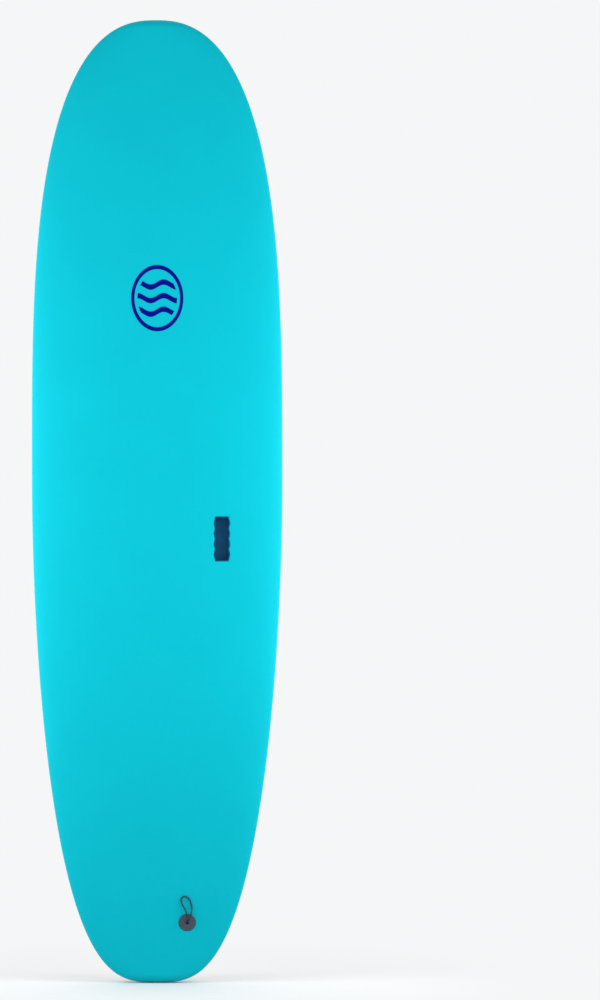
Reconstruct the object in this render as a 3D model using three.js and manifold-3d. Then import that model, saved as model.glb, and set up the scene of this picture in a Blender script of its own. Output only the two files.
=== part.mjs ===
// A 7'0" soft-top surfboard, standing on its tail: +Z runs from the tail to the nose, the deck faces -Y,
// the bottom faces +Y, and X runs across. The origin is at the tail end, on the centreline, in the plane
// that touches the bottom at its flattest point. Millimetres.
//
// From the middle outwards: a foam core in four slabs with three wooden stringers between them, a glass
// laminate in two halves, a soft foam deck skin that wraps the rails, and a bottom panel of backing foam
// with a slick plastic sheet. A hand grip, a leash plug and three fin boxes are let into it.

import * as THREE from "three";
import { mergeVertices } from "three/addons/utils/BufferGeometryUtils.js";
import { ParametricGeometry } from "three/addons/geometries/ParametricGeometry.js";
import Module from "manifold-3d";

// The board's outer shape
const LENGTH = 2134;
const HALF_WIDTH = 279.4;
const THICKNESS = 80;
const WIDE_POINT = 0.52 * LENGTH;
const NOSE_CURVE = { power: 3.25, root: 0.41 };
const TAIL_CURVE = { power: 1.85, root: 0.33 };
const NOSE_TIP_THICKNESS = 32;
const TAIL_END_THICKNESS = 36;
const FOIL_POWER = 2.4;
const FLAT_POINT = 900;
const NOSE_LIFT = 112;
const TAIL_LIFT = 42;
const NOSE_LIFT_POWER = 2.3;
const TAIL_LIFT_POWER = 2;
const TIP_ROUNDING = 18;
const RAIL_APEX = 0.45;
const DECK_ROUNDNESS = 2.5;
const BOTTOM_ROUNDNESS = 5;

// Its layers, as depths below the outer surface
const GAP = 0.3;
const SKIN = 6;
const SLICK = 1.5;
const LAMINATE_TOP = SKIN + GAP;
const LAMINATE_FLOOR = LAMINATE_TOP + 1.2;
const CORE_TOP = LAMINATE_FLOOR + GAP;
const PANEL_INSET = 12.5;
const LAP_INSET = 22;
const STRINGER_HALF = 2;
const STRINGER_SPACING = 110;
const LOW_JOINT = 700;
const HIGH_JOINT = 1400;

// Hand grip: a cup with four finger lobes down each side, let into the deck beside the centreline
const GRIP_X = 145;
const GRIP_Z = 987;
const GRIP_HALF_LENGTH = 48;
const GRIP_HALF_WIDTH = 15.3;
const LOBE_DEPTH = 1.1;
const LOBES = 4;
const LOBE_PITCH = 23.1;
const GRIP_DEPTH = 24;
const GRIP_WALL = 1.6;

// Leash plug: a two-part through plug near the tail, with a knotted cord loop
const PLUG_X = 68;
const PLUG_Z = 135;
const PLUG_DISC_RADIUS = 19;
const PLUG_BASE_RADIUS = 23;
const PLUG_PROUD = 1;
const PLUG_DISC_DEPTH = 2.4;
const PLUG_TUBE_RADIUS = 9;
const PLUG_TUBE_END = 36;
const PLUG_COLLAR_RADIUS = 12.4;
const PLUG_COLLAR_TOP = 16;
const CORD_HOLE_RADIUS = 3.5;
const CORD_HOLE_DEPTH = 12;
const CHAMBER_RADIUS = 6.4;
const BASE_HOLE_RADIUS = 7;
const CORD_RADIUS = 1.5;
const KNOT_RADIUS = 5.4;
const KNOT_HALF = 4.5;
const KNOT_DEPTH = 17;

// Fin boxes: one long slot each, with a set screw at the nose end
const CENTRE_FIN_Z = 132;
const SIDE_FIN_Z = 320;
const SIDE_FIN_X = 172;
const TOE_IN = THREE.MathUtils.degToRad(2.2);
const SLOT_HALF_LENGTH = 52;
const SLOT_HALF_WIDTH = 3.4;
const SLOT_DEPTH = 20;
const NECK_WALL = 1.3;
const BOX_HALF_WIDTH = 10;
const BOX_END = 8;
const BOX_DEPTH = 23;
const SCREW_Y = SLOT_HALF_LENGTH + 10;
const SCREW_RADIUS = 2.4;
const SCREW_TOP = 1.4;
const SCREW_END = 10.6;
const HEX_RADIUS = 1.45;
const HEX_DEPTH = 4;
const INSERT_BORE = SCREW_RADIUS + GAP;
const INSERT_RADIUS = 3.7;
const INSERT_TOP = 0.6;
const INSERT_END = 12.6;
const BOSS_BORE = INSERT_RADIUS + GAP;
const BOSS_RADIUS = 5.2;
const NECK_TOP = 0.3;

// Information label on the bottom
const LABEL_HALF_WIDTH = 24.7;
const LABEL_LOW = 219;
const LABEL_HIGH = 360;
const LABEL_THICKNESS = 0.3;

// Mesh fineness
const STATIONS = 20;
const AROUND = 16;
const ROUND_SIDES = 24;
const SMALL_SIDES = 16;
const ARC_SEGMENTS = 3;
const CORD_SEGMENTS = 4;
const MERGE_TOLERANCE = 1e-4;
const STEP = 0.5;
const BEYOND = 40;

const wasm = await Module();
wasm.setup();

const COLOURS = {
  deckFoam: { color: 0x00cfe0, roughness: 0.6, metalness: 0 },
  slick: { color: 0xf0edea, roughness: 0.3, metalness: 0 },
  backing: { color: 0xdcdcd8, roughness: 0.8, metalness: 0 },
  laminate: { color: 0xd9d6c4, roughness: 0.4, metalness: 0 },
  coreFoam: { color: 0xf6f6f4, roughness: 0.9, metalness: 0 },
  wood: { color: 0xc49a62, roughness: 0.7, metalness: 0 },
  gripPlastic: { color: 0x10486e, roughness: 0.5, metalness: 0 },
  plugPlastic: { color: 0x464b5a, roughness: 0.5, metalness: 0 },
  basePlastic: { color: 0x18181a, roughness: 0.45, metalness: 0 },
  boxPlastic: { color: 0x64625f, roughness: 0.5, metalness: 0 },
  brass: { color: 0xb08d4a, roughness: 0.35, metalness: 1 },
  steel: { color: 0xb8bbbf, roughness: 0.3, metalness: 1 },
  cord: { color: 0x141a33, roughness: 0.8, metalness: 0 },
  label: { color: 0xf4f2ee, roughness: 0.4, metalness: 0 },
};

const board = new THREE.Group();

// Half width of the plan outline at a height z above the tail end
function outline(z) {
  const towardsTail = z < WIDE_POINT;
  const share = towardsTail ? 1 - z / WIDE_POINT : (z - WIDE_POINT) / (LENGTH - WIDE_POINT);
  const curve = towardsTail ? TAIL_CURVE : NOSE_CURVE;
  return HALF_WIDTH * Math.max(0, 1 - share ** curve.power) ** curve.root;
}

// The bottom's rise towards the deck: nose rocker and tail rocker
function lift(z) {
  if (z > FLAT_POINT) return NOSE_LIFT * ((z - FLAT_POINT) / (LENGTH - FLAT_POINT)) ** NOSE_LIFT_POWER;
  return TAIL_LIFT * ((FLAT_POINT - z) / FLAT_POINT) ** TAIL_LIFT_POWER;
}

// Thickness along the centreline, before the ends are rounded over
function foil(z) {
  const middle = LENGTH / 2;
  const end = z > middle ? NOSE_TIP_THICKNESS : TAIL_END_THICKNESS;
  return THICKNESS - (THICKNESS - end) * (Math.abs(z - middle) / middle) ** FOIL_POWER;
}

// The rounding of the ends, seen from the side, for a surface at a depth below the outer one
function endRounding(z, depth) {
  const fromTip = Math.min(z, LENGTH - z) - depth;
  const radius = TIP_ROUNDING - depth;
  return fromTip >= radius ? 1 : Math.sqrt(Math.max(0, 1 - (1 - fromTip / radius) ** 2));
}

// A station of the plan outline moved inwards by an inset: its height and half width
function insetStation(share, inset) {
  const z = (LENGTH * (1 - Math.cos(Math.PI * share))) / 2;
  if (share === 0 || share === 1) return { z: share === 0 ? inset : LENGTH - inset, halfWidth: 0 };
  const near = Math.min(STEP, z / 2, (LENGTH - z) / 2);
  const slope = (outline(z + near) - outline(z - near)) / (2 * near);
  const run = Math.hypot(1, slope);
  return { z: z + (inset * slope) / run, halfWidth: outline(z) - inset / run };
}

function railHeight(z) {
  return -lift(z) - RAIL_APEX * foil(z);
}

function deckRise(z, depth) {
  return ((1 - RAIL_APEX) * foil(z) - depth) * endRounding(z, depth);
}

function bottomFall(z, depth) {
  return (RAIL_APEX * foil(z) - depth) * endRounding(z, depth);
}

// A closed mesh as a solid that can be cut and joined
function solid(geometry) {
  const bare = geometry.clone();
  bare.deleteAttribute("normal");
  bare.deleteAttribute("uv");
  const merged = mergeVertices(bare, MERGE_TOLERANCE);
  const corners = merged.index.array;
  const faces = [];
  for (let i = 0; i < corners.length; i += 3) {
    const [a, b, c] = corners.slice(i, i + 3);
    if (a !== b && b !== c && c !== a) faces.push(a, b, c);
  }
  return new wasm.Manifold(
    new wasm.Mesh({
      numProp: 3,
      vertProperties: new Float32Array(merged.attributes.position.array),
      triVerts: new Uint32Array(faces),
    }),
  );
}

function geometryOf(body) {
  const mesh = body.getMesh();
  const geometry = new THREE.BufferGeometry();
  geometry.setAttribute("position", new THREE.BufferAttribute(new Float32Array(mesh.vertProperties), 3));
  geometry.setIndex(new THREE.BufferAttribute(new Uint32Array(mesh.triVerts), 1));
  geometry.computeVertexNormals();
  return geometry;
}

function addPiece(name, geometry, material, seat) {
  const mesh = new THREE.Mesh(geometry, new THREE.MeshStandardMaterial(material));
  mesh.name = name;
  if (seat) mesh.applyMatrix4(seat);
  board.add(mesh);
}

// The board's surface at a depth below the outer one: sections with a crowned deck and a flat bottom
function boardBody(depth) {
  const section = (u, v, target) => {
    const { z, halfWidth } = insetStation(v, depth);
    const angle = 2 * Math.PI * u;
    const [across, out] = [Math.cos(angle), Math.sin(angle)];
    const roundness = 2 / (out > 0 ? BOTTOM_ROUNDNESS : DECK_ROUNDNESS);
    const height = Math.abs(out) < 1e-9 ? 0 : Math.abs(out) ** roundness;
    const x = Math.abs(across) < 1e-9 ? 0 : Math.sign(across) * Math.abs(across) ** roundness;
    const y = out > 0 ? bottomFall(z, depth) * height : -deckRise(z, depth) * height;
    target.set(halfWidth * x, railHeight(z) + y, z);
  };
  return solid(new ParametricGeometry(section, AROUND, STATIONS));
}

// Everything on the bottom's side of the rails, within an inset of the outline
function bottomRegion(inset) {
  const section = (u, v, target) => {
    const { z, halfWidth } = insetStation(v, inset);
    const corner = Math.round(4 * u) % 4;
    const x = corner === 0 || corner === 3 ? halfWidth : -halfWidth;
    const y = corner < 2 ? THICKNESS : 0;
    target.set(x, railHeight(z) + y, z);
  };
  return solid(new ParametricGeometry(section, 4, STATIONS));
}

function box(x, y, z) {
  const geometry = new THREE.BoxGeometry(x[1] - x[0], y[1] - y[0], z[1] - z[0]);
  return solid(geometry.translate((x[0] + x[1]) / 2, (y[0] + y[1]) / 2, (z[0] + z[1]) / 2));
}

// A shape drawn in X and Y, standing between two heights
function prism(shape, low, high) {
  const options = { depth: high - low, bevelEnabled: false, curveSegments: ARC_SEGMENTS };
  return new THREE.ExtrudeGeometry(shape, options).translate(0, 0, low);
}

// A round-ended slot shape along Y
function slotShape(halfWidth, halfLength) {
  const straight = halfLength - halfWidth;
  const shape = new THREE.Shape();
  shape.absarc(0, straight, halfWidth, 0, Math.PI, false);
  shape.absarc(0, -straight, halfWidth, Math.PI, 2 * Math.PI, false);
  return shape;
}

// A round piece on the Z axis from a closed profile of [radius, height] points
function turned(profile, sides = ROUND_SIDES) {
  const points = profile.map(([radius, height]) => new THREE.Vector2(radius, height));
  points.push(points[0].clone());
  return new THREE.LatheGeometry(points, sides).rotateX(Math.PI / 2);
}

function cylinder(radius, low, high, sides = ROUND_SIDES) {
  return new THREE.CylinderGeometry(radius, radius, high - low, sides)
    .rotateX(Math.PI / 2)
    .translate(0, 0, (low + high) / 2);
}

// The point of the deck or the bottom at x, z, and a frame there: Z out of the board, Y to the nose
function surfaceY(x, z, onDeck) {
  const power = onDeck ? DECK_ROUNDNESS : BOTTOM_ROUNDNESS;
  const height = (1 - (Math.abs(x) / outline(z)) ** power) ** (1 / power);
  return railHeight(z) + (onDeck ? -deckRise(z, 0) : bottomFall(z, 0)) * height;
}

function seatAt(x, z, onDeck, toe = 0) {
  const slopeX = (surfaceY(x + STEP, z, onDeck) - surfaceY(x - STEP, z, onDeck)) / (2 * STEP);
  const slopeZ = (surfaceY(x, z + STEP, onDeck) - surfaceY(x, z - STEP, onDeck)) / (2 * STEP);
  const outwards = new THREE.Vector3(-slopeX, 1, -slopeZ).normalize().multiplyScalar(onDeck ? -1 : 1);
  const forward = new THREE.Vector3(Math.sin(toe), 0, Math.cos(toe));
  const across = new THREE.Vector3().crossVectors(forward, outwards).normalize();
  forward.crossVectors(outwards, across);
  const seat = new THREE.Matrix4().makeBasis(across, forward, outwards);
  return seat.setPosition(x, surfaceY(x, z, onDeck), z);
}

function placed(geometry, seat) {
  return solid(geometry.clone().applyMatrix4(seat));
}

// ---- Hand grip ----

// The finger-lobed outline, grown outwards by a margin
function gripShape(margin) {
  const end = GRIP_HALF_LENGTH + margin;
  const steps = 6 * LOBES;
  const points = [];
  for (let side = -1; side <= 1; side += 2) {
    for (let i = 0; i <= steps; i++) {
      const y = -side * end * (1 - (2 * i) / steps);
      const x = GRIP_HALF_WIDTH + margin - LOBE_DEPTH * Math.cos((2 * Math.PI * y) / LOBE_PITCH);
      points.push(new THREE.Vector2(-side * x, -y));
    }
  }
  return new THREE.Shape(points);
}

const gripSeat = seatAt(GRIP_X, GRIP_Z, true);
const gripFloor = -GRIP_DEPTH - GRIP_WALL;
const gripCup = solid(prism(gripShape(GRIP_WALL), gripFloor, -GAP))
  .subtract(solid(prism(gripShape(0), -GRIP_DEPTH, BEYOND)));
const gripPocket = placed(prism(gripShape(GRIP_WALL + GAP), gripFloor - GAP, BEYOND), gripSeat);

// ---- Leash plug ----

const plugSeat = seatAt(PLUG_X, PLUG_Z, true);
const baseSeat = seatAt(PLUG_X, PLUG_Z, false);
const baseInPlug = plugSeat.clone().invert().multiply(baseSeat);

// Deck disc with its tube: the cord passes the narrow hole and is knotted in the wider chamber below it
const plugTop = turned([
  [CORD_HOLE_RADIUS, -CORD_HOLE_DEPTH],
  [CHAMBER_RADIUS, -CORD_HOLE_DEPTH],
  [CHAMBER_RADIUS, -PLUG_TUBE_END],
  [PLUG_TUBE_RADIUS, -PLUG_TUBE_END],
  [PLUG_TUBE_RADIUS, -PLUG_DISC_DEPTH],
  [PLUG_DISC_RADIUS, -PLUG_DISC_DEPTH],
  [PLUG_DISC_RADIUS, 0.3 * PLUG_PROUD],
  [PLUG_DISC_RADIUS - 1.2, PLUG_PROUD],
  [CORD_HOLE_RADIUS + 0.8, PLUG_PROUD],
  [CORD_HOLE_RADIUS, 0.3 * PLUG_PROUD],
]);
const plugPocket = placed(
  turned([
    [0, -PLUG_TUBE_END - GAP],
    [PLUG_TUBE_RADIUS + GAP, -PLUG_TUBE_END - GAP],
    [PLUG_TUBE_RADIUS + GAP, -PLUG_DISC_DEPTH - GAP],
    [PLUG_DISC_RADIUS + GAP, -PLUG_DISC_DEPTH - GAP],
    [PLUG_DISC_RADIUS + GAP, BEYOND],
    [0, BEYOND],
  ]),
  plugSeat,
);

// Bottom disc, flush with the sloping bottom, joined to a collar that screws up round the tube
const baseDisc = turned([
  [BASE_HOLE_RADIUS, -PLUG_DISC_DEPTH],
  [PLUG_BASE_RADIUS, -PLUG_DISC_DEPTH],
  [PLUG_BASE_RADIUS, 0.3 * PLUG_PROUD],
  [PLUG_BASE_RADIUS - 1.2, PLUG_PROUD],
  [BASE_HOLE_RADIUS + 0.8, PLUG_PROUD],
  [BASE_HOLE_RADIUS, 0.3 * PLUG_PROUD],
]);
const baseCollar = turned([
  [PLUG_TUBE_RADIUS + GAP, -PLUG_TUBE_END - BEYOND],
  [PLUG_COLLAR_RADIUS, -PLUG_TUBE_END - BEYOND],
  [PLUG_COLLAR_RADIUS, -PLUG_COLLAR_TOP],
  [PLUG_TUBE_RADIUS + GAP, -PLUG_COLLAR_TOP],
]);
const insideBase = placed(cylinder(2 * PLUG_BASE_RADIUS, -2 * BEYOND, -PLUG_DISC_DEPTH / 2), baseInPlug);
const plugBase = solid(baseCollar).intersect(insideBase).add(placed(baseDisc, baseInPlug));
const basePocket = placed(cylinder(PLUG_BASE_RADIUS + GAP, -PLUG_DISC_DEPTH - GAP, BEYOND), baseSeat);
const collarPocket = placed(
  cylinder(PLUG_COLLAR_RADIUS + GAP, -PLUG_TUBE_END - BEYOND, GAP - PLUG_COLLAR_TOP),
  plugSeat,
);

// The cord loop, in the plug's frame: up one side of the hole, over to the nose, round and back down
const LOOP_ROUTE = [
  [-1.7, 0, -11.4], [-1.7, 0, -6], [-1.7, 0, 0], [-1.7, 0.5, 5.5], [-1.5, 3.2, 10.4], [-1.1, 8.4, 12.8],
  [-0.8, 14.2, 11.6], [-1.3, 19.8, 8.8], [-3.6, 26, 6], [-7.4, 33.2, 3.8], [-11.4, 41.2, 2.4],
  [-13.8, 48.8, 2], [-12.2, 55.2, 2], [-6.2, 58.2, 2], [0.4, 56, 2], [5.2, 50.2, 2], [8.4, 42.2, 2.4],
  [10, 33.6, 3.6], [9.8, 25.6, 5.8], [8.2, 18.8, 8.6], [5.8, 12.8, 11.2], [3.6, 7.4, 12.6],
  [2.2, 2.9, 10.2], [1.7, 0.5, 5.5], [1.7, 0, 0], [1.7, 0, -6], [1.7, 0, -11.4],
];
const LOOP_STEPS = 52;
const loopCurve = new THREE.CatmullRomCurve3(LOOP_ROUTE.map((point) => new THREE.Vector3(...point)));
const cordSection = new THREE.Shape();
cordSection.absarc(0, 0, CORD_RADIUS, 0, 2 * Math.PI, false);
const cordLoop = new THREE.ExtrudeGeometry(cordSection, {
  steps: LOOP_STEPS,
  curveSegments: CORD_SEGMENTS,
  bevelEnabled: false,
  extrudePath: loopCurve,
});
const knot = new THREE.SphereGeometry(KNOT_RADIUS, 12, 8)
  .rotateX(Math.PI / 2)
  .scale(1, 1, KNOT_HALF / KNOT_RADIUS)
  .translate(0, 0, -KNOT_DEPTH);

// ---- Fin boxes ----

const FINS = [
  { side: "left", seat: seatAt(-SIDE_FIN_X, SIDE_FIN_Z, false, TOE_IN) },
  { side: "right", seat: seatAt(SIDE_FIN_X, SIDE_FIN_Z, false, -TOE_IN) },
  { side: "centre", seat: seatAt(0, CENTRE_FIN_Z, false) },
];
const neckHalfWidth = SLOT_HALF_WIDTH + NECK_WALL;
const neckHalfLength = SLOT_HALF_LENGTH + NECK_WALL;
const boxTop = -LAMINATE_TOP;

// A block under the bottom panel, with a slotted neck and a screw boss that come up through it
function finBoxOuter(margin) {
  const low = -SLOT_HALF_LENGTH - BOX_END - margin;
  const high = SCREW_Y + BOX_END + margin;
  const half = BOX_HALF_WIDTH + margin;
  const top = margin > 0 ? BEYOND : -NECK_TOP;
  const block = box([-half, half], [low, high], [-BOX_DEPTH - margin, boxTop + margin]);
  const neck = solid(prism(slotShape(neckHalfWidth + margin, neckHalfLength + margin), -BOX_DEPTH / 2, top));
  const boss = solid(cylinder(BOSS_RADIUS + margin, -BOX_DEPTH / 2, top, SMALL_SIDES).translate(0, SCREW_Y, 0));
  return block.add(neck).add(boss);
}

const slot = solid(prism(slotShape(SLOT_HALF_WIDTH, SLOT_HALF_LENGTH), -SLOT_DEPTH, BEYOND));
const bossBore = solid(cylinder(BOSS_BORE, -INSERT_END - GAP, BEYOND, SMALL_SIDES).translate(0, SCREW_Y, 0));
const finBox = geometryOf(finBoxOuter(0).subtract(slot).subtract(bossBore));
const finPocket = geometryOf(finBoxOuter(GAP));

const insertProfile = [
  [INSERT_BORE, -INSERT_END],
  [INSERT_RADIUS, -INSERT_END],
  [INSERT_RADIUS, -INSERT_TOP],
  [INSERT_BORE, -INSERT_TOP],
];
const finInsert = turned(insertProfile, SMALL_SIDES).translate(0, SCREW_Y, 0);

const hexSocket = solid(cylinder(HEX_RADIUS, -SCREW_TOP - HEX_DEPTH, BEYOND, 6));
const screwProfile = [
  [0, -SCREW_END],
  [SCREW_RADIUS - 1, -SCREW_END],
  [SCREW_RADIUS, -SCREW_END + 1],
  [SCREW_RADIUS, -SCREW_TOP],
  [0, -SCREW_TOP],
];
const screwBody = solid(turned(screwProfile, SMALL_SIDES));
const finScrew = geometryOf(screwBody.subtract(hexSocket)).translate(0, SCREW_Y, 0);

const fittings = [gripPocket, plugPocket, basePocket, collarPocket];
for (const { seat } of FINS) fittings.push(placed(finPocket, seat));

function pierced(body) {
  return fittings.reduce((rest, pocket) => rest.subtract(pocket), body);
}

// ---- Skins, laminate and core ----

// The foam of the blank and of the deck is joined up from three lengths
const ACROSS = [-HALF_WIDTH - BEYOND, HALF_WIDTH + BEYOND];
const LENGTHS = [
  ["tail", -BEYOND, LOW_JOINT - GAP / 2],
  ["middle", LOW_JOINT + GAP / 2, HIGH_JOINT - GAP / 2],
  ["nose", HIGH_JOINT + GAP / 2, LENGTH + BEYOND],
];

function cutOut(body, x, z) {
  return body.intersect(box(x, [-3 * THICKNESS, THICKNESS], z));
}

const outer = boardBody(0);
const underSkin = boardBody(SKIN);
const panel = bottomRegion(PANEL_INSET);
const shell = outer.subtract(underSkin);
const deckSkin = shell.subtract(bottomRegion(PANEL_INSET - GAP));
const bottomSlick = outer.subtract(boardBody(SLICK)).intersect(panel);
const bottomBacking = boardBody(SLICK + GAP).subtract(underSkin).intersect(panel);
for (const [part, low, high] of LENGTHS) {
  addPiece(`deck_skin_${part}`, geometryOf(cutOut(pierced(deckSkin), ACROSS, [low, high])), COLOURS.deckFoam);
}
addPiece("bottom_slick", geometryOf(pierced(bottomSlick)), COLOURS.slick);
addPiece("bottom_backing", geometryOf(pierced(bottomBacking)), COLOURS.backing);

const glass = boardBody(LAMINATE_TOP).subtract(boardBody(LAMINATE_FLOOR));
const deckLaminate = glass.subtract(bottomRegion(LAP_INSET - GAP));
const bottomLaminate = glass.intersect(bottomRegion(LAP_INSET));
addPiece("deck_laminate", geometryOf(pierced(deckLaminate)), COLOURS.laminate);
addPiece("bottom_laminate", geometryOf(pierced(bottomLaminate)), COLOURS.laminate);

// The core is cut lengthwise at the stringers; a slab runs from one stringer to the next
const core = pierced(boardBody(CORE_TOP));

const glueLine = STRINGER_HALF + GAP;
const STRINGERS = [
  ["stringer_left", -STRINGER_SPACING],
  ["stringer_centre", 0],
  ["stringer_right", STRINGER_SPACING],
];
const SLABS = [
  ["core_left_outer", -HALF_WIDTH, -STRINGER_SPACING - glueLine],
  ["core_left_inner", -STRINGER_SPACING + glueLine, -glueLine],
  ["core_right_inner", glueLine, STRINGER_SPACING - glueLine],
  ["core_right_outer", STRINGER_SPACING + glueLine, HALF_WIDTH],
];
for (const [name, x] of STRINGERS) {
  const width = [x - STRINGER_HALF, x + STRINGER_HALF];
  addPiece(name, geometryOf(cutOut(core, width, [-BEYOND, LENGTH + BEYOND])), COLOURS.wood);
}
for (const [name, left, right] of SLABS) {
  for (const [part, low, high] of LENGTHS) {
    addPiece(`${name}_${part}`, geometryOf(cutOut(core, [left, right], [low, high])), COLOURS.coreFoam);
  }
}

// The label: a thin sheet stuck on the slick, following its curve
const labelSheet = boardBody(-GAP - LABEL_THICKNESS)
  .subtract(boardBody(-GAP))
  .intersect(box([-LABEL_HALF_WIDTH, LABEL_HALF_WIDTH], [-THICKNESS / 2, THICKNESS], [LABEL_LOW, LABEL_HIGH]));
addPiece("info_label", geometryOf(labelSheet), COLOURS.label);

// ---- Fittings in place ----

addPiece("grip_cup", geometryOf(gripCup), COLOURS.gripPlastic, gripSeat);
addPiece("leash_plug_top", plugTop, COLOURS.plugPlastic, plugSeat);
addPiece("leash_plug_base", geometryOf(plugBase), COLOURS.basePlastic, plugSeat);
addPiece("leash_loop", cordLoop, COLOURS.cord, plugSeat);
addPiece("leash_knot", knot, COLOURS.cord, plugSeat);
for (const { side, seat } of FINS) {
  addPiece(`fin_box_${side}`, finBox, COLOURS.boxPlastic, seat);
  addPiece(`fin_insert_${side}`, finInsert, COLOURS.brass, seat);
  addPiece(`fin_screw_${side}`, finScrew, COLOURS.steel, seat);
}

export default board;
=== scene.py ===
"""A 7 ft soft-top surfboard, standing on its tail with its deck towards -Y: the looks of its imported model."""

import math

import bmesh
import bpy
from mathutils import Matrix, Vector


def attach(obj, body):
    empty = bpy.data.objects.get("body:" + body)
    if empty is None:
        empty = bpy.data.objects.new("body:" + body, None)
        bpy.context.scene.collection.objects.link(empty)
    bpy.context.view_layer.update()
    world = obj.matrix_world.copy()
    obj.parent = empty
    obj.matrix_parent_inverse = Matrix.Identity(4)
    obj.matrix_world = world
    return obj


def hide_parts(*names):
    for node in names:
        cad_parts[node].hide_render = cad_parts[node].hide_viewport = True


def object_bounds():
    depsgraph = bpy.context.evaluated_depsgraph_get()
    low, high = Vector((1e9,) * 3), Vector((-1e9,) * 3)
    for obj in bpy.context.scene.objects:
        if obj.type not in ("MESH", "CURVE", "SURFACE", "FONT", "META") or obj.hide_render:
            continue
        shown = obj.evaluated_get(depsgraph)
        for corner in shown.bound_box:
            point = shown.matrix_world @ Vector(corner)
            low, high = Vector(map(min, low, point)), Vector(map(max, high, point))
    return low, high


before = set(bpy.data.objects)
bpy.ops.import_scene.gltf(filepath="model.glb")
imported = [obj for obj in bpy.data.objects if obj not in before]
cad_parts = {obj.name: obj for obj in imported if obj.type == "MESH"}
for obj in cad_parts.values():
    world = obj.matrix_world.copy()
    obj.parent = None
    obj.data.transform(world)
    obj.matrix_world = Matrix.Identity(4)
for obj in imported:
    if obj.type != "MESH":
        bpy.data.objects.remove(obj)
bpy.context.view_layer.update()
high_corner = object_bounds()[1]
LENGTH = high_corner.z
HALF_WIDTH = high_corner.x
MM = 0.001


# ---- Room and camera ----
# A plain pale floor that fades into an even white surround, soft lamps, and a long lens square to the deck.
# The board stands to the left of the middle.

VIEW_HEIGHT = 2.2206
VIEW_DISTANCE = 10.0
LENS_SENSOR = 36.0
CAMERA_ASIDE = 0.3185
CAMERA_ABOVE_MIDDLE = 0.0065
DECK_FACE = 0.08
SCREEN_GAMMA = 2.2
STUDIO_WHITE = (0.915, 0.925, 0.93, 1.0)
FLOOR_PAINT = (0.68, 0.68, 0.685, 1.0)

camera_data = bpy.data.cameras.new("camera")
camera_data.sensor_width = LENS_SENSOR
camera_data.lens = LENS_SENSOR * VIEW_DISTANCE / VIEW_HEIGHT
camera = bpy.data.objects.new("camera", camera_data)
camera.location = (CAMERA_ASIDE, -VIEW_DISTANCE - DECK_FACE, LENGTH / 2 + CAMERA_ABOVE_MIDDLE)
camera.rotation_euler = (math.pi / 2, 0, 0)
bpy.context.scene.collection.objects.link(camera)
bpy.context.scene.camera = camera
bpy.context.scene.view_settings.view_transform = "Standard"


def new_node(tree, kind, settings=None, inputs=None):
    """A node with its settings, and its inputs set to a value or joined to another node's output."""
    made = tree.nodes.new(kind)
    for name, value in (settings or {}).items():
        setattr(made, name, value)
    for name, value in (inputs or {}).items():
        socket = made.inputs[name]
        if isinstance(value, bpy.types.NodeSocket):
            tree.links.new(value, socket)
        else:
            socket.default_value = value
    return made


def new_material(name):
    """An empty node material: its tree, its shader and a node for the piece's own coordinates."""
    material = bpy.data.materials.new(name)
    material.use_nodes = True
    tree = material.node_tree
    shader = tree.nodes["Principled BSDF"]
    place = tree.nodes.new("ShaderNodeTexCoord")
    return material, tree, shader, place.outputs["Object"]


def add_object(name, mesh, material):
    """An object in the scene from a mesh of one material."""
    made = bpy.data.objects.new(name, mesh)
    bpy.context.scene.collection.objects.link(made)
    mesh.materials.clear()
    mesh.materials.append(material)
    return made


def tint(red, green, blue):
    """A shader colour from screen values of 0 to 255."""
    return (*((value / 255) ** SCREEN_GAMMA for value in (red, green, blue)), 1.0)


world = bpy.data.worlds.new("surround")
bpy.context.scene.world = world
world.use_nodes = True
world.node_tree.nodes["Background"].inputs["Color"].default_value = STUDIO_WHITE
world.node_tree.nodes["Background"].inputs["Strength"].default_value = 1.0

FLOOR_RADIUS = 40.0
FLOOR_SIDES = 96
FLOOR_ROUGHNESS = 0.7
FLOOR_CLEAR = 0.12
FLOOR_FADED = 0.95
floor_mesh = bpy.data.meshes.new("floor")
floor_bm = bmesh.new()
bmesh.ops.create_circle(floor_bm, cap_ends=True, radius=FLOOR_RADIUS, segments=FLOOR_SIDES)
floor_bm.to_mesh(floor_mesh)
floor_bm.free()
floor_paint, tree, shader, place = new_material("floor_paint")
shader.inputs["Base Color"].default_value = FLOOR_PAINT
shader.inputs["Roughness"].default_value = FLOOR_ROUGHNESS
glow = new_node(tree, "ShaderNodeEmission", inputs={"Color": STUDIO_WHITE, "Strength": 1.0})
distance = new_node(tree, "ShaderNodeVectorMath", {"operation": "LENGTH"}, {0: place})
fade = new_node(
    tree,
    "ShaderNodeMapRange",
    {"interpolation_type": "SMOOTHSTEP"},
    {"Value": distance.outputs["Value"], "From Min": FLOOR_CLEAR, "From Max": FLOOR_FADED},
)
blend = new_node(
    tree, "ShaderNodeMixShader", inputs={0: fade.outputs[0], 1: shader.outputs[0], 2: glow.outputs[0]}
)
tree.links.new(blend.outputs[0], tree.nodes["Material Output"].inputs["Surface"])
floor = add_object("floor", floor_mesh, floor_paint)

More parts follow.
